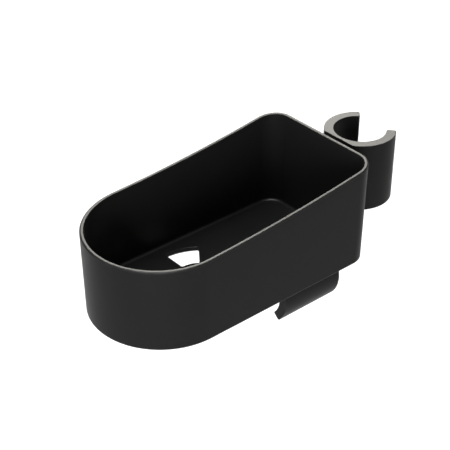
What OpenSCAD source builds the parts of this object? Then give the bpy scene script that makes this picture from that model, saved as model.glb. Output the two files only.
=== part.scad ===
// Clip-on tool storage caddy.
// A moulded tub with a rising rim hangs on an upright tube by the clip behind it, and a second
// clip under it grips a level tube. Each clip is screwed to a shoe, and each shoe slides on a
// T rail moulded on the tub.
// Millimetres. X runs along the tub towards the upright tube, Z is up. The origin is on the
// upright tube's axis, half way up its clip.

/* [Tub] */
// Outside length at the base, front tip to rear wall
tub_len = 197; // [150:0.1:260]
// Outside width at the base
tub_w = 103.4; // [80:0.1:140]
// Rim height at the front tip
front_h = 61.5; // [46:0.5:100]
// How much higher the rim is at the rear wall
rim_rise = 15.9; // [5:0.1:50]
// Wall thickness
wall = 2.8; // [1.2:0.1:3]
// Floor thickness
floor_t = 3.5; // [2:0.1:5]
// Outside radius of the two rear corners
corner_r = 15.5; // [10:0.1:30]
// Outside rounding between wall and base
base_r = 1.2; // [0.6:0.1:3]
// Inside rounding between wall and floor
inner_r = 2.4; // [1:0.1:5]
// Outward lean of the walls, in degrees
draft = 0.7; // [0:0.05:1.5]

/* [Floor slots] */
// Number of slots in the ring
slot_n = 5; // [3:1:7]
// Width of a slot along the ring, in degrees
slot_deg = 38; // [20:1:46]
// Length of a slot along the ring's radius
slot_l = 19.5; // [10:0.5:24]
// Flat floor left between the ring and the side walls' rounding
slot_edge = 7; // [3:0.1:14]
// Rounding of a slot's corners
slot_corner = 1.2; // [0.4:0.1:2]
// How far the ring sits behind the middle of the floor ahead of the level clip
slot_shift = 8.2; // [0:0.1:12]

/* [Clips] */
// Outside diameter of the tube that a clip grips
tube_d = 38.1; // [20:0.1:50]
// Clearance between tube and clip, on the radius
tube_clear = 0.15; // [0.05:0.05:0.2]
// Thickness of a clip's arms
arm_t = 7; // [5:0.1:10]
// Thickness of a clip's back at its thinnest
back_t = 2.8; // [2:0.1:5]
// Length of a clip along its tube
clip_len = 53.5; // [42:0.5:70]
// Opening of a clip's mouth, in degrees
mouth_deg = 90; // [70:1:110]
// Rounding of the arm tips
tip_r = 1.5; // [0.5:0.1:2.2]

/* [Mounting] */
// Gap between the rear wall and the back of the upright clip
rear_gap = 15.2; // [11:0.1:30]
// Gap between the base and the back of the level clip
under_gap = 9.5; // [8:0.5:20]
// Height of the upright clip's lower end above the base
rear_clip_z = 15; // [8:0.5:26]
// Distance of the level clip's rear end from the rear wall
under_clip_x = 2.3; // [0:0.1:40]

/* [Slide rails] */
// Length of a shoe along its rail
shoe_len = 38; // [32:0.5:48]
// Thickness of a shoe's sides beside the rail
shoe_side = 4.7; // [2:0.1:7]
// Width of a rail's neck
neck_w = 8; // [5:0.5:10]
// Depth of a rail's neck
neck_d = 2.8; // [2:0.1:4]
// Width of a rail's head
head_w = 16; // [13:0.5:20]
// Depth of a rail's head
head_d = 2.2; // [1.6:0.1:3]
// Sliding clearance between rail and shoe
slide_c = 0.3; // [0.2:0.05:0.5]
// Gap between a shoe and the tub's surface
shoe_gap = 0.8; // [0.4:0.1:1.2]
// Length of a rail beyond its shoe at the open end
rail_over = 2; // [0:0.1:5]
// Thickness of the end stop on a rail
stop_t = 3.2; // [2:0.1:5]

/* [Screws] */
// Diameter of a screw's thread
screw_d = 3.5; // [2.5:0.1:4.5]
// Diameter of its countersunk head
screw_head_d = 6.6; // [5:0.1:8]
// How far its head lies below the clip's bore
screw_sink = 0.2; // [0.1:0.05:0.5]
// Shoe left between a screw's hole and the rail's pocket under the tub
screw_floor = 0.5; // [0.3:0.1:2]
// Distance between a clip's two screws
screw_pitch = 26; // [18:0.5:30]

/* [Hidden] */
$fn = 96;

plastic = [0.16, 0.16, 0.16];
plastic_2 = [0.22, 0.22, 0.23];
steel = [0.7, 0.7, 0.72];

hw = tub_w / 2;
lean = tan(draft);
rear_h = front_h + rim_rise;
bore_r = tube_d / 2 + tube_clear;
arm_r = bore_r + arm_t;
back_x = bore_r + back_t;               // tube axis to the flat back
wall_x = -(back_x + rear_gap);          // rear wall's outer face at the base
front_x = wall_x - tub_len;             // front tip
arc_x = front_x + hw;                   // centre of the round front
clip_mid = rear_clip_z + clip_len / 2;  // middle of the upright clip above the base
base_z = -clip_mid;                     // the tub's underside
level_z = base_z - under_gap - back_x;  // axis of the level tube
level_x = wall_x - under_clip_x - clip_len / 2; // middle of the level clip
rim_r = (pow(tub_len, 2) + pow(rim_rise, 2)) / (2 * rim_rise); // the rim's long arc
top_z = rear_h + 4;                     // the walls are swept to here and cut back

shoe_w = head_w + 2 * (slide_c + shoe_side);
rail_d = neck_d + head_d;
rail_len = shoe_len + rail_over;
rail_c = 0.1;                           // a rail's root stays this far inside its wall
lean_x = lean * (clip_mid + shoe_len / 2);   // the wall's lean at the upright rail's stop
rear_root = lean_x - lean * clip_mid + wall / 2;

slot_r_out = hw - wall - inner_r - slot_edge;
slot_r_in = slot_r_out - slot_l;
free_front = front_x + wall + inner_r;  // flat floor ahead of the level clip's rail
free_rear = level_x + shoe_len / 2 - rail_len;
ring_x = (free_front + free_rear) / 2 + slot_shift;

tip_mid = bore_r + arm_t / 2;
tip_deg = mouth_deg / 2 + asin(tip_r / tip_mid);
seat_c = 0.02;                          // a screw's clearance in its hole, on the radius
hole_c = 0.15;                          // and in its clip
hole_deep = under_gap - rail_d - slide_c - screw_floor;
screw_len = back_t - screw_sink + hole_deep - 0.2;
head_depth = (screw_head_d - screw_d) / 2;

// The half section below an edge: a flat at z0, a quarter round, then the leaning wall.
module edge(off, z0, r) {
    k = sqrt(1 + lean * lean);
    c = [off + lean * (z0 + r) - r * k, z0 + r];
    polygon([[0, z0], [c.x, z0], c, [c.x + r / k, c.y - r * lean / k],
             [off + lean * top_z, top_z], [0, top_z]]);
    translate(c) circle(r);
}

// The tub's outline swept with an edge: round front, straight sides, two rear corners.
module basin(off, z0, r) {
    mid = wall_x - corner_r - arc_x;
    translate([arc_x, 0, 0]) rotate_extrude($fn = 160) edge(hw + off, z0, r);
    translate([arc_x, 0, 0]) rotate([90, 0, 90]) linear_extrude(mid)
        for (s = [0, 1]) mirror([s, 0, 0]) edge(hw + off, z0, r);
    for (s = [-1, 1]) translate([wall_x - corner_r, s * (hw - corner_r), 0]) rotate_extrude()
        edge(corner_r + off, z0, r);
    translate([wall_x - corner_r, hw - corner_r, 0]) rotate([90, 0, 0])
        linear_extrude(2 * (hw - corner_r)) {
            edge(corner_r + off, z0, r);
            translate([-corner_r, z0]) square([corner_r + 1, top_z - z0]);
        }
}

// A slot's outline: a sector of the ring with rounded corners.
function arc(r, c, a0, a1, n) =
    [for (i = [0:n]) let (a = a0 + (a1 - a0) * i / n) [c.x + r * cos(a), c.y + r * sin(a)]];
function slot_half() = let (
    h = slot_deg / 2,
    ri = slot_r_in + slot_corner,
    ro = slot_r_out - slot_corner,
    ai = h - asin(slot_corner / ri),
    ao = h - asin(slot_corner / ro))
    concat(
        arc(slot_r_in, [0, 0], 0, ai, 4),
        arc(slot_corner, ri * [cos(ai), sin(ai)], ai + 180, h + 90, 4),
        arc(slot_corner, ro * [cos(ao), sin(ao)], h + 90, ao, 4),
        arc(slot_r_out, [0, 0], ao, 0, 6));
module slot() {
    half = slot_half();
    polygon(concat(half, [for (i = [len(half) - 2:-1:1]) [half[i].x, -half[i].y]]));
}

// A T rail along Z that stands out along +X from x = 0, with its end stop above z = 0.
module t_rail(root) {
    translate([-root, -neck_w / 2, -rail_len]) cube([neck_d + root, neck_w, rail_len]);
    translate([neck_d, -head_w / 2, -rail_len]) cube([head_d, head_w, rail_len]);
    translate([-root, -shoe_w / 2, 0]) cube([rail_d + root, shoe_w, stop_t]);
}

// A shoe for that rail, its top end at z = 0 and its flat seat at x = deep.
module shoe(deep) {
    difference() {
        translate([shoe_gap, -shoe_w / 2, -shoe_len]) cube([deep - shoe_gap, shoe_w, shoe_len]);
        translate([shoe_gap - 1, -neck_w / 2 - slide_c, -shoe_len - 1])
            cube([neck_d - shoe_gap + 1, neck_w + 2 * slide_c, shoe_len + 2]);
        translate([neck_d - slide_c, -head_w / 2 - slide_c, -shoe_len - 1])
            cube([head_d + 2 * slide_c, head_w + 2 * slide_c, shoe_len + 2]);
        for (s = [-1, 1]) translate([deep - hole_deep, 0, -shoe_len / 2 + s * screw_pitch / 2])
            rotate([0, 90, 0]) cylinder(r = screw_d / 2 + seat_c, h = hole_deep + 1, $fn = 32);
    }
}

// A clip's section: a C whose back is towards -X and whose mouth opens towards +X.
module c_section() {
    dir = [cos(tip_deg), sin(tip_deg)];
    out = tip_r * [sin(tip_deg), -cos(tip_deg)];
    ci = (bore_r + tip_r) * dir;
    co = (arm_r - tip_r) * dir;
    half = [[0, 0], ci, ci + out, co + out, co, 2 * arm_r * dir, 2 * arm_r * [-1, 1]];
    difference() {
        intersection() {
            circle(arm_r);
            polygon(concat(half, [for (i = [6:-1:1]) [half[i].x, -half[i].y]]));
        }
        circle(bore_r);
        translate([-2 * arm_r, -2 * arm_r]) square([2 * arm_r - back_x, 4 * arm_r]);
    }
    for (p = [ci, co], s = [-1, 1]) translate([p.x, s * p.y]) circle(tip_r);
}

// That clip round the Z axis, with its two countersunk screw holes.
module c_clip() {
    difference() {
        translate([0, 0, -clip_len / 2]) linear_extrude(clip_len) c_section();
        for (s = [-1, 1]) translate([0, 0, s * screw_pitch / 2]) rotate([0, -90, 0]) {
            cylinder(r = screw_d / 2 + hole_c, h = back_x + 1, $fn = 32);
            cylinder(r = screw_head_d / 2 + hole_c, h = bore_r + screw_sink, $fn = 48);
            translate([0, 0, bore_r + screw_sink]) cylinder(r1 = screw_head_d / 2 + hole_c,
                r2 = screw_d / 2 + hole_c, h = head_depth, $fn = 48);
        }
    }
}

// The two screws of a clip, heads towards the tube.
module clip_screws() {
    for (s = [-1, 1]) translate([-bore_r - screw_sink, 0, s * screw_pitch / 2])
        rotate([0, -90, 0]) difference() {
            union() {
                cylinder(d1 = screw_head_d, d2 = screw_d, h = head_depth, $fn = 48);
                cylinder(d = screw_d, h = screw_len, $fn = 32);
            }
            for (a = [0, 90]) rotate([0, 0, a])
                translate([-0.28 * screw_head_d, -0.07 * screw_head_d, -1])
                    cube([0.56 * screw_head_d, 0.14 * screw_head_d, 1 + 0.6 * head_depth]);
        }
}

module tray_tub() {
    color(plastic) {
        difference() {
            translate([0, 0, base_z]) difference() {
                basin(0, 0, base_r);
                basin(-wall, floor_t, inner_r);
            }
            translate([front_x, 0, base_z + front_h + rim_r]) rotate([90, 0, 0])
                cylinder(r = rim_r, h = tub_w + 40, center = true, $fn = 720);
            for (i = [0:slot_n - 1]) translate([ring_x, 0, base_z - 1])
                rotate([0, 0, i * 360 / slot_n]) linear_extrude(floor_t + 2) slot();
        }
        translate([wall_x + lean_x, 0, shoe_len / 2]) t_rail(rear_root);
        translate([level_x, 0, base_z]) rotate([0, 90, 0]) translate([0, 0, shoe_len / 2])
            t_rail(floor_t / 2);
    }
}

module pole_clip() { color(plastic) c_clip(); }

module pole_clip_shoe() {
    color(plastic_2) translate([wall_x + lean_x, 0, shoe_len / 2]) shoe(rear_gap - lean_x);
}

module pole_clip_screws() { color(steel) clip_screws(); }

module rail_clip() {
    color(plastic) translate([level_x, 0, level_z]) rotate([0, 90, 0]) c_clip();
}

module rail_clip_shoe() {
    color(plastic_2) translate([level_x, 0, base_z]) rotate([0, 90, 0])
        translate([0, 0, shoe_len / 2]) shoe(under_gap);
}

module rail_clip_screws() {
    color(steel) translate([level_x, 0, level_z]) rotate([0, 90, 0]) clip_screws();
}

tray_tub();
pole_clip();
pole_clip_shoe();
pole_clip_screws();
rail_clip();
rail_clip_shoe();
rail_clip_screws();
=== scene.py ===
"""Dresses the clip-on tool storage caddy: moulded tub, tube clips, slide shoes and screws."""

import logging
import math
from dataclasses import dataclass
from enum import Enum
from typing import Callable, Sequence

import bmesh
import bpy
from bpy.types import Material, Mesh, Node, NodeSocket, NodeTree, Object
from mathutils import Matrix, Vector

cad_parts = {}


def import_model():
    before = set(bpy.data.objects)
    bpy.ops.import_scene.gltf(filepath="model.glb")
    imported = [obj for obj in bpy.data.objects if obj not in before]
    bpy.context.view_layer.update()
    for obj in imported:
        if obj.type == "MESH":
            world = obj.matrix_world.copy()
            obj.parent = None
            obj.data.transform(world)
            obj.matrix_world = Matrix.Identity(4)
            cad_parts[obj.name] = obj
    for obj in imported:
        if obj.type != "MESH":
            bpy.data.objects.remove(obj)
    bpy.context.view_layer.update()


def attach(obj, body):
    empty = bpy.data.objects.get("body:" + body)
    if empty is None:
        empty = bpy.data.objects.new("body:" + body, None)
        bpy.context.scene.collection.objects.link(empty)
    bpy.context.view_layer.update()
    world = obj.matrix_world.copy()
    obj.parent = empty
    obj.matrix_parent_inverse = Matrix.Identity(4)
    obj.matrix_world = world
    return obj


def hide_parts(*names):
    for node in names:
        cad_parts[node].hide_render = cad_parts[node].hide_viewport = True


log = logging.getLogger("caddy")

Point = tuple[float, float]
Inputs = dict[str, tuple[str, object]]
Wires = dict[str | int, object]

MM = 0.001
HAIR = 0.001 * MM  # points closer than this are one point
LEVEL = 0.99999  # a face whose normal's Z is beyond this lies level
STRONG_FACES = 80  # weighted normals: beyond 50, large faces count for more
QUARTER = math.pi / 2


def unit(angle: float) -> Vector:
    """The level direction at an angle in radians from +X."""
    return Vector((math.cos(angle), math.sin(angle), 0.0))


class Seat(Enum):
    """Which tube a clip and its shoe belong to."""

    UPRIGHT = "pole"
    LEVEL = "rail"


@dataclass(frozen=True)
class Sizes:
    """Sizes that more than one sub-assembly needs, in metres."""

    bore: float = 19.2 * MM
    arm: float = 7.0 * MM
    back: float = 2.8 * MM
    clip_len: float = 53.5 * MM
    base_z: float = -41.75 * MM
    wall_x: float = -37.2 * MM
    under_gap: float = 9.5 * MM
    under_x: float = -66.25 * MM
    lean: float = math.tan(math.radians(0.7))
    shoe_len: float = 38.0 * MM
    shoe_w: float = 26.0 * MM
    neck_w: float = 8.0 * MM
    neck_d: float = 2.8 * MM
    head_w: float = 16.0 * MM
    head_d: float = 2.2 * MM
    slide: float = 0.3 * MM
    shoe_gap: float = 0.8 * MM
    screw_pitch: float = 26.0 * MM
    screw_r: float = 1.75 * MM
    head_r: float = 3.3 * MM
    sink: float = 0.2 * MM

    @property
    def seat_x(self) -> float:
        """Distance from a tube's axis to its clip's flat back."""
        return self.bore + self.back

    @property
    def lean_x(self) -> float:
        """How far the rear wall has leant out at the top of its rail."""
        return self.lean * (-self.base_z + self.shoe_len / 2)

    def place(self, seat: Seat) -> Matrix:
        """The clip frame: Z along the tube, -X towards the tub.

        Args:
            seat: Which tube.

        Returns:
            The matrix from that frame to the part's frame.
        """
        if seat is Seat.UPRIGHT:
            return Matrix.Identity(4)
        level_z = self.base_z - self.under_gap - self.seat_x
        return Matrix.Translation((self.under_x, 0, level_z)) @ Matrix.Rotation(QUARTER, 4, "Y")

    def tub_x(self, seat: Seat) -> float:
        """Where the tub's surface lies along X in the clip frame.

        Args:
            seat: Which tube.

        Returns:
            The place in metres.
        """
        if seat is Seat.UPRIGHT:
            return self.wall_x + self.lean_x
        return -(self.seat_x + self.under_gap)


# ---------------------------------------------------------------------------
# Mesh helpers


def new_object(name: str, mesh: Mesh) -> Object:
    """Links a mesh to the scene under a name.

    Args:
        name: Object name.
        mesh: The mesh.

    Returns:
        The object.
    """
    obj = bpy.data.objects.new(name, mesh)
    bpy.context.scene.collection.objects.link(obj)
    return obj


def drop(obj: Object) -> None:
    """Deletes a helper object and its mesh.

    Args:
        obj: The object.
    """
    mesh = obj.data
    bpy.data.objects.remove(obj)
    if mesh.users == 0:
        bpy.data.meshes.remove(mesh)


def settled(obj: Object) -> None:
    """Turns an object's modifiers into its mesh and removes them.

    Args:
        obj: The object, with live modifiers.
    """
    deps = bpy.context.evaluated_depsgraph_get()
    deps.update()
    mesh = bpy.data.meshes.new_from_object(
        obj.evaluated_get(deps), preserve_all_data_layers=True, depsgraph=deps)
    old = obj.data
    obj.modifiers.clear()
    obj.data = mesh
    mesh.name = obj.name
    bpy.data.meshes.remove(old)


def weighted(obj: Object) -> None:
    """Settles an object with normals that its large faces rule.

    Args:
        obj: The object.
    """
    even = obj.modifiers.new("even", "WEIGHTED_NORMAL")
    even.weight = STRONG_FACES
    settled(obj)


def rounded(obj: Object, width: float, segments: int = 3, angle: float = 28.0) -> None:
    """Rounds an object's sharp edges and evens out its shading.

    Args:
        obj: The object.
        width: Bevel width in metres.
        segments: Bevel segments.
        angle: Smallest edge angle that is rounded, in degrees.
    """
    bevel = obj.modifiers.new("round", "BEVEL")
    bevel.width = width
    bevel.segments = segments
    bevel.limit_method = "ANGLE"
    bevel.angle_limit = math.radians(angle)
    bevel.use_clamp_overlap = True
    bevel.miter_outer = "MITER_ARC"
    for poly in obj.data.polygons:
        poly.use_smooth = True
    weighted(obj)


def strip_faces(rows: int, count: int, flipped: bool = False) -> list[tuple[int, ...]]:
    """Faces between closed rows of points that stand one after another.

    Args:
        rows: Number of rows.
        count: Points of a row.
        flipped: Whether the faces look the other way.

    Returns:
        The point numbers of each face.
    """
    faces = []
    for low in range(0, (rows - 1) * count, count):
        for here in range(count):
            after = (here + 1) % count
            quad = (low + here, low + after, low + count + after, low + count + here)
            faces.append(quad[:1] + quad[:0:-1] if flipped else quad)
    return faces


# ---------------------------------------------------------------------------
# Node trees


FLOAT, COLOR = "NodeSocketFloat", "NodeSocketColor"


def wired(tree: NodeTree, kind: str, wires: Wires | None = None, **values: object) -> Node:
    """Adds a node to a tree, sets its properties and fills its inputs.

    Args:
        tree: The tree.
        kind: The node's type.
        wires: A plain value or a socket for each input, by its name or number.
        **values: Properties by name.

    Returns:
        The node.
    """
    made = tree.nodes.new(kind)
    for key, value in values.items():
        setattr(made, key, value)
    for slot, term in (wires or {}).items():
        if isinstance(term, NodeSocket):
            tree.links.new(term, made.inputs[slot])
        else:
            made.inputs[slot].default_value = term
    return made


def wired_math(tree: NodeTree, operation: str, *terms: object) -> NodeSocket:
    """The result of a new Math node on numbers or sockets."""
    return wired(tree, "ShaderNodeMath", dict(enumerate(terms)), operation=operation).outputs[0]


class NamedTree:
    """A node group with named inputs and outputs."""

    def __init__(self, name: str, kind: str, inputs: Inputs, outputs: dict[str, str]) -> None:
        """Makes the group and its sockets.

        Args:
            name: Group name.
            kind: Type of node tree.
            inputs: Socket kind and default value of each named input.
            outputs: Socket kind of each named output.
        """
        self.tree = bpy.data.node_groups.new(name, kind)
        for label, (socket, value) in inputs.items():
            made = self.tree.interface.new_socket(label, in_out="INPUT", socket_type=socket)
            if value is not None:
                made.default_value = value
        for label, socket in outputs.items():
            self.tree.interface.new_socket(label, in_out="OUTPUT", socket_type=socket)
        self.given = self.tree.nodes.new("NodeGroupInput")
        self.result = self.tree.nodes.new("NodeGroupOutput")

    def node(self, kind: str, wires: Wires | None = None, **values: object) -> Node:
        """Adds a node of a kind to the group, as wired does."""
        return wired(self.tree, kind, wires, **values)

    def math(self, operation: str, *terms: object) -> NodeSocket:
        """The result of a new Math node in the group."""
        return wired_math(self.tree, operation, *terms)

    def put(self, socket: NodeSocket, output: str) -> None:
        """Joins a socket to a named output."""
        self.tree.links.new(socket, self.result.inputs[output])


class GeometryTree(NamedTree):
    """A Geometry Nodes tree, which ends in Realize Instances and Set Material."""

    def __init__(self, name: str, inputs: Inputs) -> None:
        """Makes the tree and its sockets.

        Args:
            name: Tree name.
            inputs: Every input beside the geometry and the material.
        """
        shape = {"Geometry": ("NodeSocketGeometry", None)}
        dress = {"Material": ("NodeSocketMaterial", None)}
        super().__init__(
            name, "GeometryNodeTree", shape | inputs | dress, {"Geometry": "NodeSocketGeometry"})

    def upright(self, height: object) -> NodeSocket:
        """The vector of a height along Z."""
        return self.node("ShaderNodeCombineXYZ", {"Z": height}).outputs["Vector"]

    def finish(self, geometry: NodeSocket) -> None:
        """Ends the tree in Realize Instances and Set Material.

        Args:
            geometry: What the tree has made.
        """
        real = self.node("GeometryNodeRealizeInstances", {"Geometry": geometry})
        dress = self.node("GeometryNodeSetMaterial", {
            "Geometry": real.outputs["Geometry"], "Material": self.given.outputs["Material"]})
        self.put(dress.outputs["Geometry"], "Geometry")

    def run(self, obj: Object, material: Material, **values: object) -> None:
        """Runs the tree on an object and keeps the result as its mesh.

        Args:
            obj: The object that holds the input geometry.
            material: What Set Material puts on it.
            **values: Inputs by name, with _ for a space.
        """
        modifier = obj.modifiers.new(self.tree.name, "NODES")
        modifier.node_group = self.tree
        chosen = {key.replace("_", " "): value for key, value in values.items()}
        chosen["Material"] = material
        for item in self.tree.interface.items_tree:
            if item.in_out == "INPUT" and item.name in chosen:
                modifier[item.identifier] = chosen[item.name]
        settled(obj)


class Trees:
    """The trees that this object's repeated and ruled shapes come from."""

    def __init__(self) -> None:
        """Builds every tree once."""
        self.extrude = self._extrude()
        self.row = self._row()
        self.ring = self._ring()
        self.rim = self._rim()

    def bar(
        self, name: str, outline: Sequence[Point], material: Material, start: float, length: float,
    ) -> Object:
        """A bar along Z with one section.

        Args:
            name: Object name.
            outline: The section's points in order, anticlockwise.
            material: What it is made of.
            start: Height of its lower end.
            length: Its length.

        Returns:
            The object.
        """
        mesh = bpy.data.meshes.new(name)
        mesh.from_pydata([(x, y, 0.0) for x, y in outline], [], [list(range(len(outline)))])
        mesh.update()
        made = new_object(name, mesh)
        self.extrude.run(made, material, Length=length, Start=start)
        return made

    def _extrude(self) -> GeometryTree:
        """A flat section made a bar along Z from a start height.

        Returns:
            The tree.
        """
        tree = GeometryTree("extruded_section", {
            "Length": (FLOAT, 0.01), "Start": (FLOAT, 0.0)})
        given = tree.given.outputs
        pull = tree.node("GeometryNodeExtrudeMesh", {
            "Mesh": given["Geometry"], "Individual": False, "Offset Scale": given["Length"],
        }, mode="FACES")
        flip = tree.node("GeometryNodeFlipFaces", {"Mesh": given["Geometry"]})
        join = tree.node("GeometryNodeJoinGeometry")
        for half in (pull, flip):
            tree.tree.links.new(half.outputs["Mesh"], join.inputs["Geometry"])
        weld = tree.node("GeometryNodeMergeByDistance", {
            "Geometry": join.outputs["Geometry"], "Distance": HAIR})
        move = tree.node("GeometryNodeTransform", {
            "Geometry": weld.outputs["Geometry"], "Translation": tree.upright(given["Start"])})
        tree.finish(move.outputs["Geometry"])
        return tree

    def _row(self) -> GeometryTree:
        """Copies of a piece in a row along Z, centred on it.

        Returns:
            The tree.
        """
        tree = GeometryTree("row_of_pieces", {
            "Count": ("NodeSocketInt", 2), "Pitch": (FLOAT, 0.02)})
        given = tree.given.outputs
        span = tree.math("MULTIPLY", tree.math("SUBTRACT", given["Count"], 1.0), given["Pitch"])
        line = tree.node("GeometryNodeMeshLine", {
            "Count": given["Count"],
            "Start Location": tree.upright(tree.math("MULTIPLY", span, -0.5)),
            "Offset": tree.upright(given["Pitch"]),
        }, mode="OFFSET")
        copies = tree.node("GeometryNodeInstanceOnPoints", {
            "Points": line.outputs["Mesh"], "Instance": given["Geometry"]})
        tree.finish(copies.outputs["Instances"])
        return tree

    def _ring(self) -> GeometryTree:
        """Copies of a piece turned about the Z axis through a centre.

        Returns:
            The tree.
        """
        tree = GeometryTree("ring_of_pieces", {
            "Count": ("NodeSocketInt", 5), "Centre": ("NodeSocketVector", (0.0, 0.0, 0.0))})
        given = tree.given.outputs
        points = tree.node("GeometryNodePoints", {
            "Count": given["Count"], "Position": given["Centre"]})
        index = tree.node("GeometryNodeInputIndex").outputs["Index"]
        turn = tree.math("MULTIPLY", tree.math("DIVIDE", index, given["Count"]), math.tau)
        euler = tree.node("FunctionNodeEulerToRotation", {"Euler": tree.upright(turn)})
        copies = tree.node("GeometryNodeInstanceOnPoints", {
            "Points": points.outputs["Points"], "Instance": given["Geometry"],
            "Rotation": euler.outputs["Rotation"]})
        tree.finish(copies.outputs["Instances"])
        return tree

    def _rim(self) -> GeometryTree:
        """Lifts a level rim on to one long arc, along its leaning wall.

        Points carry "lift", 1 at the rim and 0 at its foot, and "lean", how far the wall goes
        outwards for each metre up.

        Returns:
            The tree.
        """
        tree = GeometryTree("rising_rim", {
            "Lowest X": (FLOAT, 0.0), "Arc radius": (FLOAT, 1.0)})
        given = tree.given.outputs
        place = tree.node("GeometryNodeInputPosition").outputs["Position"]
        axes = tree.node("ShaderNodeSeparateXYZ", {"Vector": place})
        radius = given["Arc radius"]
        along = tree.math("SUBTRACT", axes.outputs["X"], given["Lowest X"])
        squares = [tree.math("MULTIPLY", side, side) for side in (radius, along)]
        height = tree.math("SUBTRACT", radius, tree.math("SQRT", tree.math("SUBTRACT", *squares)))
        lift, lean = (
            tree.node("GeometryNodeInputNamedAttribute", {"Name": name}, data_type=kind)
            for name, kind in (("lift", "FLOAT"), ("lean", "FLOAT_VECTOR")))
        way = tree.node("ShaderNodeVectorMath", {
            0: lean.outputs["Attribute"], 1: (0.0, 0.0, 1.0)}, operation="ADD")
        move = tree.node("ShaderNodeVectorMath", {
            0: way.outputs["Vector"],
            "Scale": tree.math("MULTIPLY", height, lift.outputs["Attribute"]),
        }, operation="SCALE")
        lifted = tree.node("GeometryNodeSetPosition", {
            "Geometry": given["Geometry"], "Offset": move.outputs["Vector"]})
        tree.finish(lifted.outputs["Geometry"])
        return tree


# ---------------------------------------------------------------------------
# Finishes


GRAIN_HEIGHT = 0.05 * MM  # how high the surface's bump counts at full strength
FINE_SHARE = 0.5  # weight of the fine grain beside the slow clouds
LEAST_ROUGHNESS = 0.05
PATCH_GAIN, PATCH_BASE = 0.8, 0.4  # how far rubbing follows its patches, and what is there anyway


class ShaderGroup(NamedTree):
    """A shader node group on the coordinates that its input Vector gives."""

    def __init__(self, name: str, inputs: Inputs, outputs: dict[str, str]) -> None:
        """Makes the group and its sockets.

        Args:
            name: Group name.
            inputs: Every input beside Vector.
            outputs: Socket kind of each named output.
        """
        vector = {"Vector": ("NodeSocketVector", None)}
        super().__init__(name, "ShaderNodeTree", vector | inputs, outputs)

    def noise(self, scale: NodeSocket, detail: float, roughness: float) -> NodeSocket:
        """Noise of a scale on the group's Vector.

        Args:
            scale: Socket that gives the scale.
            detail: Octaves.
            roughness: Share of each further octave.

        Returns:
            The noise value, 0 to 1.
        """
        return self.node("ShaderNodeTexNoise", {
            "Vector": self.given.outputs["Vector"], "Scale": scale, "Detail": detail,
            "Roughness": roughness}).outputs["Fac"]


class Effects:
    """Surface effects that several finishes share."""

    def __init__(self) -> None:
        """Builds every group once."""
        self.grain = self._grain()
        self.polish = self._polish()

    def _grain(self) -> ShaderGroup:
        """Texture of a moulded or drawn surface: fine grain over slow clouds.

        Returns:
            The group.
        """
        group = ShaderGroup(
            "surface_grain",
            {"Base Color": (COLOR, (0.03, 0.03, 0.03, 1.0)),
             "Grain Scale": (FLOAT, 2600.0),
             "Cloud Scale": (FLOAT, 22.0),
             "Tint": (FLOAT, 0.1),
             "Roughness": (FLOAT, 0.4),
             "Roughness Spread": (FLOAT, 0.08)},
            {"Color": COLOR, "Roughness": FLOAT, "Height": FLOAT})
        given = group.given.outputs
        fine = group.noise(given["Grain Scale"], detail=2.0, roughness=0.6)
        cloud = group.noise(given["Cloud Scale"], detail=3.0, roughness=0.5)
        slow, quick = (group.math("SUBTRACT", noise, 0.5) for noise in (cloud, fine))
        mixed = group.math("ADD", slow, group.math("MULTIPLY", quick, FINE_SHARE))
        gain = group.math("ADD", group.math("MULTIPLY", mixed, given["Tint"]), 1.0)
        tinted = group.node(
            "ShaderNodeVectorMath", {0: given["Base Color"], "Scale": gain}, operation="SCALE")
        group.put(tinted.outputs["Vector"], "Color")
        spread = group.math("MULTIPLY", mixed, given["Roughness Spread"])
        rough = group.math("ADD", given["Roughness"], group.math("MULTIPLY", spread, 2.0))
        rough = group.math("MINIMUM", group.math("MAXIMUM", rough, LEAST_ROUGHNESS), 1.0)
        group.put(rough, "Roughness")
        group.put(fine, "Height")
        return group

    def _polish(self) -> ShaderGroup:
        """Edges that handling has rubbed: a little paler and smoother, in broken patches.

        Returns:
            The group.
        """
        group = ShaderGroup(
            "edge_polish",
            {"Mask": (FLOAT, 0.0),
             "Patch Scale": (FLOAT, 160.0),
             "Color": (COLOR, (0.03, 0.03, 0.03, 1.0)),
             "Rubbed Color": (COLOR, (0.08, 0.08, 0.08, 1.0)),
             "Roughness": (FLOAT, 0.4),
             "Rubbed Roughness": (FLOAT, 0.3)},
            {"Color": COLOR, "Roughness": FLOAT})
        given = group.given.outputs
        patch = group.noise(given["Patch Scale"], detail=2.0, roughness=0.5)
        broken = group.math("ADD", group.math("MULTIPLY", patch, PATCH_GAIN), PATCH_BASE)
        share = group.math("MINIMUM", group.math("MULTIPLY", given["Mask"], broken), 1.0)
        mix = group.node("ShaderNodeMix", {
            "Factor": share, "A": given["Color"], "B": given["Rubbed Color"]}, data_type="RGBA")
        group.put(mix.outputs["Result"], "Color")
        gap = group.math("SUBTRACT", given["Rubbed Roughness"], given["Roughness"])
        rough = group.math("ADD", given["Roughness"], group.math("MULTIPLY", gap, share))
        group.put(rough, "Roughness")
        return group


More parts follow.
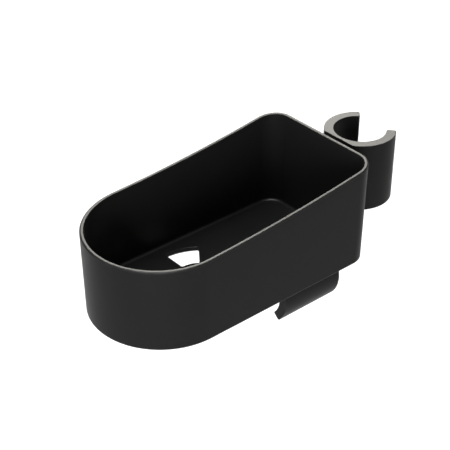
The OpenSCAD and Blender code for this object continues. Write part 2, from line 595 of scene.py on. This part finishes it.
@dataclass(frozen=True)
class Finish:
    """One material: its colour, gloss, grain and rubbed edges."""

    name: str
    color: tuple[float, float, float]
    roughness: float
    metallic: float = 0.0
    specular: float = 0.5
    grain_scale: float = 2600.0
    grain_depth: float = 0.12
    cloud_scale: float = 22.0
    tint: float = 0.12
    spread: float = 0.05
    rubbed: tuple[float, float, float] = (0.02, 0.02, 0.02)
    rubbed_roughness: float = 0.3

    def build(self, effects: Effects) -> Material:
        """Makes the material.

        Args:
            effects: The shared node groups.

        Returns:
            The material.
        """
        material = bpy.data.materials.new(self.name)
        material.use_nodes = True
        tree = material.node_tree
        shader = tree.nodes["Principled BSDF"]
        shader.inputs["Metallic"].default_value = self.metallic
        shader.inputs["Specular IOR Level"].default_value = self.specular
        where = wired(tree, "ShaderNodeTexCoord").outputs["Object"]
        mask = wired(tree, "ShaderNodeAttribute", attribute_name="edge").outputs["Fac"]
        grain = wired(tree, "ShaderNodeGroup", {
            "Vector": where, "Base Color": (*self.color, 1.0), "Grain Scale": self.grain_scale,
            "Cloud Scale": self.cloud_scale, "Tint": self.tint, "Roughness": self.roughness,
            "Roughness Spread": self.spread,
        }, node_tree=effects.grain.tree).outputs
        polish = wired(tree, "ShaderNodeGroup", {
            "Vector": where, "Mask": mask, "Color": grain["Color"],
            "Rubbed Color": (*self.rubbed, 1.0), "Roughness": grain["Roughness"],
            "Rubbed Roughness": self.rubbed_roughness,
        }, node_tree=effects.polish.tree).outputs
        bump = wired(tree, "ShaderNodeBump", {
            "Strength": self.grain_depth, "Distance": GRAIN_HEIGHT, "Height": grain["Height"]})
        for socket, label in (
            (polish["Color"], "Base Color"), (polish["Roughness"], "Roughness"),
            (bump.outputs["Normal"], "Normal"),
        ):
            tree.links.new(socket, shader.inputs[label])
        return material


TUB_PLASTIC = Finish("tub_satin", (0.0125, 0.0125, 0.0125), 0.4, specular=0.045)
CLIP_PLASTIC = Finish("clip_satin", (0.0125, 0.0125, 0.0125), 0.4, specular=0.045)
SHOE_PLASTIC = Finish("shoe_satin", (0.02, 0.02, 0.021), 0.5, specular=0.1, grain_depth=0.2)
SCREW_STEEL = Finish("screw_zinc", (0.62, 0.62, 0.64), 0.32, metallic=1.0, grain_scale=1500.0,
                     grain_depth=0.06, tint=0.25, spread=0.12, rubbed=(0.7, 0.7, 0.7))


# ---------------------------------------------------------------------------
# Shared shapes


def mark_edges(
    mesh: Mesh, widest: float = 0.35 * MM, least_bend: float = math.radians(8.0),
) -> None:
    """Stores which faces are outward rounded edges in the face attribute "edge".

    Args:
        mesh: The mesh.
        widest: Mean width up to which a bent strip counts as an edge.
        least_bend: Angle to its sharpest neighbour beyond which a strip counts as bent.
    """
    form = bmesh.new()
    form.from_mesh(mesh)
    form.faces.ensure_lookup_table()
    layer = mesh.attributes.new("edge", "FLOAT", "FACE")
    for face in form.faces:
        bend = max((edge.calc_face_angle_signed(0.0) for edge in face.edges), default=0.0)
        narrow = 2 * face.calc_area() / max(face.calc_perimeter(), HAIR) < widest
        level = abs(face.normal.z) > LEVEL
        layer.data[face.index].value = float(narrow and bend > least_bend and not level)
    form.free()


def carved(obj: Object, cutter: Object) -> None:
    """Cuts one closed piece out of another and deletes the cutter.

    Args:
        obj: The piece that is cut.
        cutter: The piece that cuts it.
    """
    cut = obj.modifiers.new("cut", "BOOLEAN")
    cut.operation = "DIFFERENCE"
    cut.solver = "EXACT"
    cut.object = cutter
    settled(obj)
    drop(cutter)


def evened(obj: Object) -> None:
    """Smooths an object's shading by the size of its faces, but leaves its level faces flat.

    Args:
        obj: The object.
    """
    for poly in obj.data.polygons:
        poly.use_smooth = abs(poly.normal.z) < LEVEL
    weighted(obj)


def turned(
    name: str, ends: Sequence[Point], sides: int = 48,
    swell: Callable[[float, float], float] = lambda along, angle: 0.0,
) -> Object:
    """A closed turned solid about the -X axis.

    Args:
        name: Object name.
        ends: Distance along -X and radius of each ring, in order.
        sides: Points of a ring.
        swell: What the radius gains at a distance and an angle.

    Returns:
        The object.
    """
    form = bmesh.new()
    rings = []
    for along, radius in ends:
        ring = []
        for step in range(sides):
            angle = math.tau * step / sides
            reach = radius + swell(along, angle)
            ring.append(form.verts.new((-along, reach * math.cos(angle), reach * math.sin(angle))))
        rings.append(ring)
    for low, high in zip(rings, rings[1:]):
        for step in range(sides):
            after = (step + 1) % sides
            form.faces.new((low[step], low[after], high[after], high[step]))
    form.faces.new(rings[0])
    form.faces.new(rings[-1])
    bmesh.ops.recalc_face_normals(form, faces=form.faces)
    mesh = bpy.data.meshes.new(name)
    form.to_mesh(mesh)
    form.free()
    return new_object(name, mesh)


def merged(name: str, parts: Sequence[Object]) -> Object:
    """Joins objects, with their places, into one new object and deletes them.

    Args:
        name: Name of the new object.
        parts: The objects, which share one material.

    Returns:
        The new object.
    """
    form = bmesh.new()
    for part in parts:
        part.data.transform(part.matrix_world)
        form.from_mesh(part.data)
    material = parts[0].data.materials[0]
    mesh = bpy.data.meshes.new(name)
    form.to_mesh(mesh)
    form.free()
    mesh.materials.append(material)
    for part in parts:
        drop(part)
    return new_object(name, mesh)


def arc(centre: Point, radius: float, start: float, end: float, steps: int) -> list[Point]:
    """Points along an arc in a plane.

    Args:
        centre: Its centre.
        radius: Its radius.
        start: First angle in radians.
        end: Last angle in radians.
        steps: Number of steps.

    Returns:
        The points, both ends included.
    """
    angles = [start + (end - start) * i / steps for i in range(steps + 1)]
    return [(centre[0] + radius * math.cos(a), centre[1] + radius * math.sin(a)) for a in angles]


# ---------------------------------------------------------------------------
# The tub


@dataclass(frozen=True)
class Station:
    """A point of the tub's outline at the base and its outward direction."""

    point: Vector
    out: Vector


@dataclass(frozen=True)
class Row:
    """A line round the tub's wall: offset from the outline, height, and share of the rim's rise."""

    offset: float
    height: float
    lift: float = 0.0


@dataclass(frozen=True)
class TubSteps:
    """How many straight steps each run of the tub's outlines and sections has."""

    rear: int = 12
    corner: int = 28
    side: int = 32
    front: int = 112
    base_round: int = 7
    wall: int = 8
    rim_outer: int = 5
    rim_inner: int = 6
    heel: int = 8
    slot_out: int = 20
    slot_in: int = 12
    slot_corner: int = 6
    slot_low: int = 4
    slot_top: int = 5


@dataclass
class Tub:
    """The moulded tub: rising rim, ring of floor slots and two T rails with end stops."""

    sizes: Sizes
    trees: Trees
    plastic: Material
    length: float = 197.0 * MM
    width: float = 103.4 * MM
    front_h: float = 61.5 * MM
    rise: float = 15.9 * MM
    wall: float = 2.8 * MM
    floor: float = 3.5 * MM
    corner: float = 15.5 * MM
    base_r: float = 1.2 * MM
    inner_r: float = 2.4 * MM
    rim_outer: float = 1.2 * MM
    rim_inner: float = 0.5 * MM
    slots: int = 5
    slot_angle: float = math.radians(38.0)
    slot_out: float = 39.5 * MM
    slot_in: float = 20.0 * MM
    slot_corner: float = 1.2 * MM
    slot_soft: float = 0.5 * MM
    ring_x: float = -149.925 * MM
    rail_over: float = 2.0 * MM
    rail_round: float = 0.35 * MM
    stop: float = 3.2 * MM
    steps: TubSteps = TubSteps()

    @property
    def front_x(self) -> float:
        """Where the round front ends at the base."""
        return self.sizes.wall_x - self.length

    @property
    def rim_radius(self) -> float:
        """Radius of the long arc that the rim follows."""
        return (self.length ** 2 + self.rise ** 2) / (2 * self.rise)

    def stations(self) -> list[Station]:
        """The outline of the base, anticlockwise from the rear wall.

        Returns:
            Its points, with the way outwards at each.
        """
        half = self.width / 2
        flat = half - self.corner
        tail = self.sizes.wall_x - self.corner
        bow = self.front_x + half
        steps = self.steps
        line: list[Station] = []

        def straight(start: Point, end: Point, out: Vector, count: int) -> None:
            """Adds a straight run, without its last point.

            Args:
                start: Its first point.
                end: Its last point.
                out: The way outwards.
                count: Number of steps.
            """
            for i in range(count):
                spot = Vector((*start, 0.0)).lerp(Vector((*end, 0.0)), i / count)
                line.append(Station(spot, out))

        def turn(centre: Point, radius: float, start: float, end: float, count: int) -> None:
            """Adds an arc, without its last point.

            Args:
                centre: Its centre.
                radius: Its radius.
                start: First angle in radians.
                end: Last angle in radians.
                count: Number of steps.
            """
            for i in range(count):
                out = unit(start + (end - start) * i / count)
                line.append(Station(Vector((*centre, 0.0)) + out * radius, out))

        straight((self.sizes.wall_x, -flat), (self.sizes.wall_x, flat), unit(0), steps.rear)
        turn((tail, flat), self.corner, 0.0, QUARTER, steps.corner)
        straight((tail, half), (bow, half), unit(QUARTER), steps.side)
        turn((bow, 0.0), half, QUARTER, 3 * QUARTER, steps.front)
        straight((bow, -half), (tail, -half), unit(-QUARTER), steps.side)
        turn((tail, -flat), self.corner, -QUARTER, 0.0, steps.corner)
        return line

    def rows(self) -> list[Row]:
        """The wall's section, as rows from the underside, over the rim, to the floor.

        Returns:
            The rows.
        """
        lean, steps = self.sizes.lean, self.steps
        slope = math.hypot(1.0, lean)
        down = -math.atan(lean)

        def side(start: float, end: float, offset: float, rising: bool) -> list[Row]:
            """The rows of a leaning face between two heights, without its ends.

            Args:
                start: Height that it starts at.
                end: Height that it ends at.
                offset: How far the face lies from the outline at the base.
                rising: Whether it goes up to the rim.

            Returns:
                The rows.
            """
            made = []
            for i in range(1, steps.wall):
                share = i / steps.wall
                height = start + (end - start) * i / steps.wall
                made.append(Row(lean * height + offset, height, share if rising else 1 - share))
            return made

        low_out, low_in = self.base_r, self.floor + self.inner_r
        top_out, top_in = self.front_h - self.rim_outer, self.front_h - self.rim_inner
        foot = (lean * low_out - self.base_r * slope, low_out)
        rows = [Row(*p) for p in arc(foot, self.base_r, -QUARTER, down, steps.base_round)]
        rows += side(low_out, top_out, 0.0, True)
        outer = (lean * top_out - self.rim_outer, top_out)
        rows += [Row(*p, 1.0) for p in arc(outer, self.rim_outer, 0.0, QUARTER, steps.rim_outer)]
        inner = (lean * top_in - self.wall + self.rim_inner, top_in)
        rows += [Row(*p, 1.0)
                 for p in arc(inner, self.rim_inner, QUARTER, math.pi, steps.rim_inner)]
        rows += side(top_in, low_in, -self.wall, False)
        heel = (lean * low_in - self.wall - self.inner_r * slope, low_in)
        rows += [Row(*p) for p in arc(heel, self.inner_r, down, -QUARTER, steps.heel)]
        return rows

    def build_wall(self) -> Object:
        """The wall with both its roundings, lifted on to the rim's arc.

        Returns:
            The object, open at the floor and at the underside.
        """
        stations, rows = self.stations(), self.rows()
        points, lifts, leans = [], [], []
        for row in rows:
            for station in stations:
                spot = station.point + station.out * row.offset
                points.append((spot.x, spot.y, self.sizes.base_z + row.height))
                lifts.append(row.lift)
                leans.extend(station.out * self.sizes.lean)
        mesh = bpy.data.meshes.new("tub_wall")
        mesh.from_pydata(points, [], strip_faces(len(rows), len(stations)))
        mesh.attributes.new("lift", "FLOAT", "POINT").data.foreach_set("value", lifts)
        mesh.attributes.new("lean", "FLOAT_VECTOR", "POINT").data.foreach_set("vector", leans)
        obj = new_object("tub_wall", mesh)
        self.trees.rim.run(
            obj, self.plastic, Lowest_X=self.front_x, Arc_radius=self.rim_radius)
        for name in ("lift", "lean"):
            obj.data.attributes.remove(obj.data.attributes[name])
        return obj

    def slot_outline(self, grow: float) -> list[Point]:
        """One slot about its ring's centre, anticlockwise.

        Args:
            grow: How far it is widened on every side.

        Returns:
            Its points.
        """
        near, far = self.slot_in + self.slot_corner, self.slot_out - self.slot_corner
        half = self.slot_angle / 2
        turn_near = half - math.asin(self.slot_corner / near)
        turn_far = half - math.asin(self.slot_corner / far)
        corner, steps = self.slot_corner + grow, self.steps
        far_x, far_y = far * math.cos(turn_far), far * math.sin(turn_far)
        near_x, near_y = near * math.cos(turn_near), near * math.sin(turn_near)
        bend = steps.slot_corner
        outline = arc((0, 0), self.slot_out + grow, -turn_far, turn_far, steps.slot_out)
        outline += arc((far_x, far_y), corner, turn_far, half + QUARTER, bend)[1:]
        outline += arc((near_x, near_y), corner, half + QUARTER, turn_near + math.pi, bend)
        outline += arc((0, 0), self.slot_in - grow, turn_near, -turn_near, steps.slot_in)[1:]
        outline += arc((near_x, -near_y), corner, math.pi - turn_near, 3 * QUARTER - half, bend)[1:]
        outline += arc((far_x, -far_y), corner, -half - QUARTER, -turn_far, bend)[:-1]
        return outline

    def build_slots(self) -> Object:
        """The walls of every floor slot, softened at both edges.

        Returns:
            The object, whose open edges meet the floor and the underside.
        """
        soft, low = self.slot_soft, self.slot_soft / 2
        levels = arc((low, low), low, -QUARTER, -math.pi, self.steps.slot_low)
        levels += arc((soft, self.floor - soft), soft, math.pi, QUARTER, self.steps.slot_top)
        points, count = [], len(self.slot_outline(0.0))
        for grow, height in levels:
            points += [(x, y, height) for x, y in self.slot_outline(grow)]
        mesh = bpy.data.meshes.new("tub_slots")
        mesh.from_pydata(points, [], strip_faces(len(levels), count, flipped=True))
        obj = new_object("tub_slots", mesh)
        centre = (self.ring_x, 0.0, self.sizes.base_z)
        self.trees.ring.run(obj, self.plastic, Count=self.slots, Centre=centre)
        return obj

    def close_floor(self, shell: Object) -> None:
        """Fills the floor and the underside between the wall and the slots.

        Args:
            shell: The wall and the slots as one object.
        """
        form = bmesh.new()
        form.from_mesh(shell.data)
        for height, up in ((self.sizes.base_z + self.floor, 1.0), (self.sizes.base_z, -1.0)):
            open_edges = [
                edge for edge in form.edges
                if edge.is_boundary and all(abs(v.co.z - height) < HAIR for v in edge.verts)
            ]
            made = bmesh.ops.triangle_fill(
                form, use_beauty=True, edges=open_edges, normal=(0.0, 0.0, up))
            for face in made["geom"]:
                if isinstance(face, bmesh.types.BMFace):
                    face.normal_update()
                    if face.normal.z * up < 0:
                        face.normal_flip()
        gaps = sum(1 for edge in form.edges if not edge.is_manifold)
        log.info("tub shell: %d faces, %d open edges", len(form.faces), gaps)
        form.to_mesh(shell.data)
        form.free()

    def build_rail(self, seat: Seat) -> Object:
        """A T rail with its end stop, in place.

        Args:
            seat: Whose rail.

        Returns:
            The object.
        """
        size = self.sizes
        root = (self.wall if seat is Seat.UPRIGHT else self.floor) / 2
        deep = size.neck_d + size.head_d
        neck, head, wide = size.neck_w / 2, size.head_w / 2, size.shoe_w / 2
        tee = [(-root, -neck), (size.neck_d, -neck), (size.neck_d, -head), (deep, -head),
               (deep, head), (size.neck_d, head), (size.neck_d, neck), (-root, neck)]
        plate = [(-root, -wide), (deep, -wide), (deep, wide), (-root, wide)]
        end, length = size.shoe_len / 2, size.shoe_len + self.rail_over
        rail = self.trees.bar(f"{seat.value}_rail", tee, self.plastic, end - length, length)
        stop = self.trees.bar(f"{seat.value}_stop", plate, self.plastic, end, self.stop)
        for part in (rail, stop):
            rounded(part, self.rail_round)
            part.data.transform(size.place(seat) @ Matrix.Translation((size.tub_x(seat), 0, 0)))
        return merged(f"{seat.value}_rail", [rail, stop])

    def build(self) -> None:
        """Builds the whole tub as one piece."""
        shell = merged("tub_shell", [self.build_wall(), self.build_slots()])
        self.close_floor(shell)
        evened(shell)
        tub = merged("tub", [shell] + [self.build_rail(seat) for seat in Seat])
        evened(tub)
        mark_edges(tub.data)
        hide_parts("tray_tub")
        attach(tub, "tub")
        log.info("tub: %d faces", len(tub.data.polygons))


# ---------------------------------------------------------------------------
# The clips


@dataclass(frozen=True)
class ScrewForm:
    """The finer sizes of a countersunk screw with a cross recess.

    An arm of the recess has half its length and half its width as shares of the head's diameter,
    its depth as a share of the head's cone, and a taper as the share of it that is left below.
    """

    length: float = 6.1 * MM
    plain: float = 0.4 * MM
    point: float = 0.5 * MM
    pitch: float = 1.3 * MM
    depth: float = 0.35 * MM
    flank: float = 2.6
    head_soft: Point = (0.05 * MM, 0.12 * MM)
    rings: int = 40
    sides: int = 40
    recess_long: float = 0.28
    recess_wide: float = 0.07
    recess_deep: float = 0.6
    recess_taper: float = 0.7


@dataclass
class ClipSet:
    """A tube clip with the shoe behind it and the two screws that join them."""

    sizes: Sizes
    trees: Trees
    seat: Seat
    body: str
    clip: Material
    shoe: Material
    steel: Material
    mouth: float = math.radians(90.0)
    tip_r: float = 1.5 * MM
    clip_round: float = 0.3 * MM
    shoe_round: float = 0.5 * MM
    hole_clear: float = 0.15 * MM
    hole_spare: float = 0.2 * MM
    seat_clear: float = 0.02 * MM
    overrun: float = 1.0 * MM
    screws: int = 2
    tip_steps: int = 8
    outer_steps: int = 44
    bore_steps: int = 96
    screw: ScrewForm = ScrewForm()

    @property
    def clip_outline(self) -> list[Point]:
        """The C section, anticlockwise from the tip of its upper arm.

        Returns:
            Its points.
        """
        size = self.sizes
        outer = size.bore + size.arm
        tip = self.mouth / 2 + math.asin(self.tip_r / (size.bore + size.arm / 2))
        flat = math.pi - math.acos(size.seat_x / outer)
        near, far = size.bore + self.tip_r, outer - self.tip_r

        def tip_arc(reach: float, side: float, start: float) -> list[Point]:
            """A quarter of a tip's rounding, from an angle past the tip's own."""
            centre = (reach * math.cos(side), reach * math.sin(side))
            return arc(centre, self.tip_r, side + start, side + start + QUARTER, self.tip_steps)

        outline = tip_arc(far, tip, -QUARTER)
        outline += arc((0, 0), outer, tip, flat, self.outer_steps)[1:]
        outline += arc((0, 0), outer, -flat, -tip, self.outer_steps)
        outline += tip_arc(far, -tip, 0.0)[1:]
        outline += tip_arc(near, -tip, QUARTER)
        outline += arc((0, 0), size.bore, math.tau - tip, tip, self.bore_steps)[1:]
        outline += tip_arc(near, tip, math.pi)[1:]
        return outline

    @property
    def shoe_outline(self) -> list[Point]:
        """The shoe's section with its T pocket, where X 0 is the tub's surface.

        Returns:
            Its points.
        """
        size = self.sizes
        slack = size.slide
        near, far = size.shoe_gap, -size.seat_x - size.tub_x(self.seat)
        lip, deep = size.neck_d - slack, size.neck_d + size.head_d + slack
        neck, head, side = size.neck_w / 2 + slack, size.head_w / 2 + slack, size.shoe_w / 2
        return [(near, -side), (far, -side), (far, side), (near, side), (near, neck), (lip, neck),
                (lip, head), (deep, head), (deep, -head), (lip, -head), (lip, -neck), (near, -neck)]

    def claim(self, obj: Object, node: str) -> None:
        """Puts a finished piece in place on its body.

        Args:
            obj: The piece, in the clip frame.
            node: The CAD node it stands for.
        """
        evened(obj)
        obj.data.transform(self.sizes.place(self.seat))
        mark_edges(obj.data)
        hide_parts(node)
        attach(obj, self.body)
        log.info("%s: %d faces", obj.name, len(obj.data.polygons))

    def cut_rows(self, name: str, ends: Sequence[Point], material: Material) -> Object:
        """Turned cutters at the screws' places.

        Args:
            name: Object name.
            ends: Distance along -X and radius of each ring.
            material: The cut piece's material.

        Returns:
            The cutters as one object.
        """
        cutter = turned(name, ends)
        self.trees.row.run(
            cutter, material, Count=self.screws, Pitch=self.sizes.screw_pitch)
        return cutter

    def build_clip(self) -> None:
        """The C clip with its countersunk holes."""
        size = self.sizes
        clip = self.trees.bar(
            f"{self.seat.value}_tube_clip", self.clip_outline, self.clip,
            -size.clip_len / 2, size.clip_len)
        rounded(clip, self.clip_round)
        head, bolt = size.head_r + self.hole_clear, size.screw_r + self.hole_clear
        seat = size.bore + size.sink
        ends = [(size.bore - 2 * self.overrun, head), (seat, head),
                (seat + size.head_r - size.screw_r, bolt), (size.seat_x + self.overrun, bolt)]
        carved(clip, self.cut_rows("countersinks", ends, self.clip))
        self.claim(clip, f"{self.seat.value}_clip")

    def build_shoe(self) -> None:
        """The shoe that slides on the tub's T rail."""
        size = self.sizes
        shoe = self.trees.bar(
            f"{self.seat.value}_shoe", self.shoe_outline, self.shoe,
            -size.shoe_len / 2, size.shoe_len)
        rounded(shoe, self.shoe_round)
        shoe.data.transform(Matrix.Translation((size.tub_x(self.seat), 0, 0)))
        hole = size.screw_r + self.seat_clear
        end = size.bore + size.sink + self.screw.length + self.hole_spare
        ends = [(size.seat_x - self.overrun, hole), (end, hole)]
        carved(shoe, self.cut_rows("screw_holes", ends, self.shoe))
        self.claim(shoe, f"{self.seat.value}_clip_shoe")

    def build_screws(self) -> None:
        """The countersunk screws with their cross recesses and cut threads."""
        size, form = self.sizes, self.screw
        face = size.bore + size.sink
        cone = size.head_r - size.screw_r
        thread = face + cone + form.plain
        tip = face + form.length

        def groove(along: float, angle: float) -> float:
            """What the thread takes off the radius.

            Args:
                along: Distance along the screw's axis.
                angle: Angle about it in radians.

            Returns:
                The change of radius, 0 or less.
            """
            if not thread < along < tip - form.point:
                return 0.0
            turn = ((along - thread) / form.pitch - angle / math.tau) % 1.0
            return -form.depth * min(1.0, abs(turn - 0.5) * form.flank)

        soft_along, soft_in = form.head_soft
        ends = [(face, size.head_r - soft_in), (face + soft_along, size.head_r),
                (face + cone, size.screw_r)]
        ends += [(thread + (tip - thread) * i / form.rings, size.screw_r)
                 for i in range(form.rings)]
        ends += [(tip, size.screw_r - form.point)]
        screw = turned("screw", ends, form.sides, groove)
        long, wide = (2 * size.head_r * share for share in (form.recess_long, form.recess_wide))
        for turn in (0.0, QUARTER):
            recess = bmesh.new()
            bmesh.ops.create_cube(recess, size=2.0)
            for vert in recess.verts:
                taper = 1.0 if vert.co.x > 0 else form.recess_taper
                depth = self.overrun if vert.co.x > 0 else -form.recess_deep * cone
                vert.co = Vector((depth - face, vert.co.y * long * taper, vert.co.z * wide * taper))
            bmesh.ops.rotate(recess, verts=recess.verts, matrix=Matrix.Rotation(turn, 3, "X"))
            mesh = bpy.data.meshes.new("recess")
            recess.to_mesh(mesh)
            recess.free()
            carved(screw, new_object("recess", mesh))
        self.trees.row.run(screw, self.steel, Count=self.screws, Pitch=size.screw_pitch)
        screw.name = f"{self.seat.value}_screws"
        self.claim(screw, f"{self.seat.value}_clip_screws")

    def build(self) -> None:
        """Builds the clip, its shoe and its screws."""
        self.build_clip()
        self.build_shoe()
        self.build_screws()


# ---------------------------------------------------------------------------
# The studio


def seen_rays(tree: NodeTree) -> NodeSocket:
    """Nodes that tell the camera's own rays from those that carry light.

    Args:
        tree: The tree that they are added to.

    Returns:
        1 for what is seen straight, mirrored or through a piece, else 0.
    """
    path = wired(tree, "ShaderNodeLightPath").outputs
    seen = wired_math(tree, "MAXIMUM", path["Is Camera Ray"], path["Is Glossy Ray"])
    return wired_math(tree, "MAXIMUM", seen, path["Is Transmission Ray"])


class Role(Enum):
    """What a lamp does: light the part, or only show as a sheen on it."""

    LIGHT = "light"
    SHEEN = "sheen"


@dataclass(frozen=True)
class SoftBox:
    """A square lamp that faces the part; at level 1 it lights a facing white sheet to white."""

    name: str
    toward: tuple[float, float, float]
    level: float
    role: Role = Role.LIGHT
    size: float = 1.2
    distance: float = 2.0
    color: tuple[float, float, float] = (1.0, 1.0, 1.0)

    def build(self, target: Vector) -> None:
        """Makes the lamp.

        Args:
            target: The point it faces.
        """
        lamp = bpy.data.lights.new(self.name, "AREA")
        lamp.shape = "SQUARE"
        lamp.size = self.size
        lamp.energy = self.level * (math.pi * self.distance) ** 2
        lamp.color = self.color
        obj = bpy.data.objects.new(self.name, lamp)
        way = Vector(self.toward).normalized()
        obj.location = target + way * self.distance
        obj.rotation_mode = "QUATERNION"
        obj.rotation_quaternion = way.to_track_quat("Z", "Y")
        obj.visible_diffuse = self.role is Role.LIGHT
        bpy.context.scene.collection.objects.link(obj)


@dataclass
class Studio:
    """Camera, white floor and soft light."""

    azimuth: float = math.radians(-40.00267)
    elevation: float = math.radians(33.4887)
    distance: float = 826.446 * MM
    aim: tuple[float, float, float] = (-103.9 * MM, 0.0, -21.25 * MM)
    aside: float = -18.482 * MM
    above: float = 6.828 * MM
    lens: float = 94.25
    sensor: float = 36.0
    clip_range: tuple[float, float] = (0.05, 20.0)
    floor_z: float = -450.0 * MM
    floor_size: float = 12.0
    floor_white: float = 0.8
    floor_roughness: float = 0.9
    floor_glow: float = 0.5
    ambient: float = 0.03
    lamps: tuple[SoftBox, ...] = (
        SoftBox("front_box", (-0.6, -0.65, 0.1), 0.98, size=1.0),
        SoftBox("left_box", (-0.9, 0.15, 0.35), 0.08, size=1.6),
        SoftBox("rear_box", (0.536, 0.639, 0.552), 0.15, size=1.6),
        SoftBox("top_box", (-0.25, 0.15, 1.0), 0.6),
        SoftBox("rim_sheen", (0.536, 0.639, 0.552), 6.9, Role.SHEEN, 1.0, color=(1.0, 0.975, 0.9)),
        SoftBox("top_sheen", (-0.2, -0.1, 1.0), 5.0, Role.SHEEN),
    )

    def build_camera(self) -> None:
        """A long lens that looks a little past the aim, with no shift."""
        turn, rise = self.azimuth, self.elevation
        right = unit(turn)
        level = unit(turn - QUARTER)
        back = level * math.cos(rise) + Vector((0.0, 0.0, math.sin(rise)))
        up = back.cross(right)
        data = bpy.data.cameras.new("camera")
        data.lens = self.lens
        data.sensor_width = self.sensor
        data.clip_start, data.clip_end = self.clip_range
        camera = bpy.data.objects.new("camera", data)
        place = Matrix((right, up, back)).transposed().to_4x4()
        beside = right * self.aside + up * self.above
        place.translation = Vector(self.aim) + beside + back * self.distance
        camera.matrix_world = place
        bpy.context.scene.collection.objects.link(camera)
        bpy.context.scene.camera = camera

    def build_floor(self) -> None:
        """A pale floor that shows white beyond the part's shadow."""
        bpy.ops.mesh.primitive_plane_add(
            size=self.floor_size, location=(0.0, 0.0, self.floor_z))
        floor = bpy.context.object
        floor.name = "floor"
        material = bpy.data.materials.new("floor_paper")
        material.use_nodes = True
        tree = material.node_tree
        shader = tree.nodes["Principled BSDF"]
        shader.inputs["Base Color"].default_value = (*[self.floor_white] * 3, 1.0)
        shader.inputs["Roughness"].default_value = self.floor_roughness
        strength = wired_math(tree, "MULTIPLY", seen_rays(tree), self.floor_glow)
        glow = wired(tree, "ShaderNodeEmission", {"Strength": strength})
        both = wired(tree, "ShaderNodeAddShader", {0: shader.outputs[0], 1: glow.outputs[0]})
        tree.links.new(both.outputs[0], tree.nodes["Material Output"].inputs["Surface"])
        floor.data.materials.append(material)

    def build_world(self) -> None:
        """White for the camera, plain grey light for the part."""
        world = bpy.data.worlds.new("studio")
        bpy.context.scene.world = world
        world.use_nodes = True
        tree = world.node_tree
        bright = wired_math(tree, "MULTIPLY", seen_rays(tree), 1.0 - self.ambient)
        level = wired_math(tree, "ADD", bright, self.ambient)
        back = tree.nodes["Background"]
        back.inputs["Color"].default_value = (1.0, 1.0, 1.0, 1.0)
        tree.links.new(level, back.inputs["Strength"])

    def build(self) -> None:
        """Sets the stage."""
        bpy.context.scene.view_settings.view_transform = "Standard"
        self.build_camera()
        self.build_floor()
        self.build_world()
        for lamp in self.lamps:
            lamp.build(Vector(self.aim))


def main() -> None:
    """Builds the caddy in the order of its assembly."""
    logging.basicConfig(level=logging.INFO, format="%(name)s %(message)s")
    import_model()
    sizes, trees, effects = Sizes(), Trees(), Effects()
    plastic = TUB_PLASTIC.build(effects)
    clip, shoe, steel = (
        finish.build(effects) for finish in (CLIP_PLASTIC, SHOE_PLASTIC, SCREW_STEEL))
    Tub(sizes, trees, plastic).build()
    ClipSet(sizes, trees, Seat.UPRIGHT, "pole_mount", clip, shoe, steel).build()
    ClipSet(sizes, trees, Seat.LEVEL, "rail_mount", clip, shoe, steel).build()
    Studio().build()


if __name__ == "__main__":
    main()
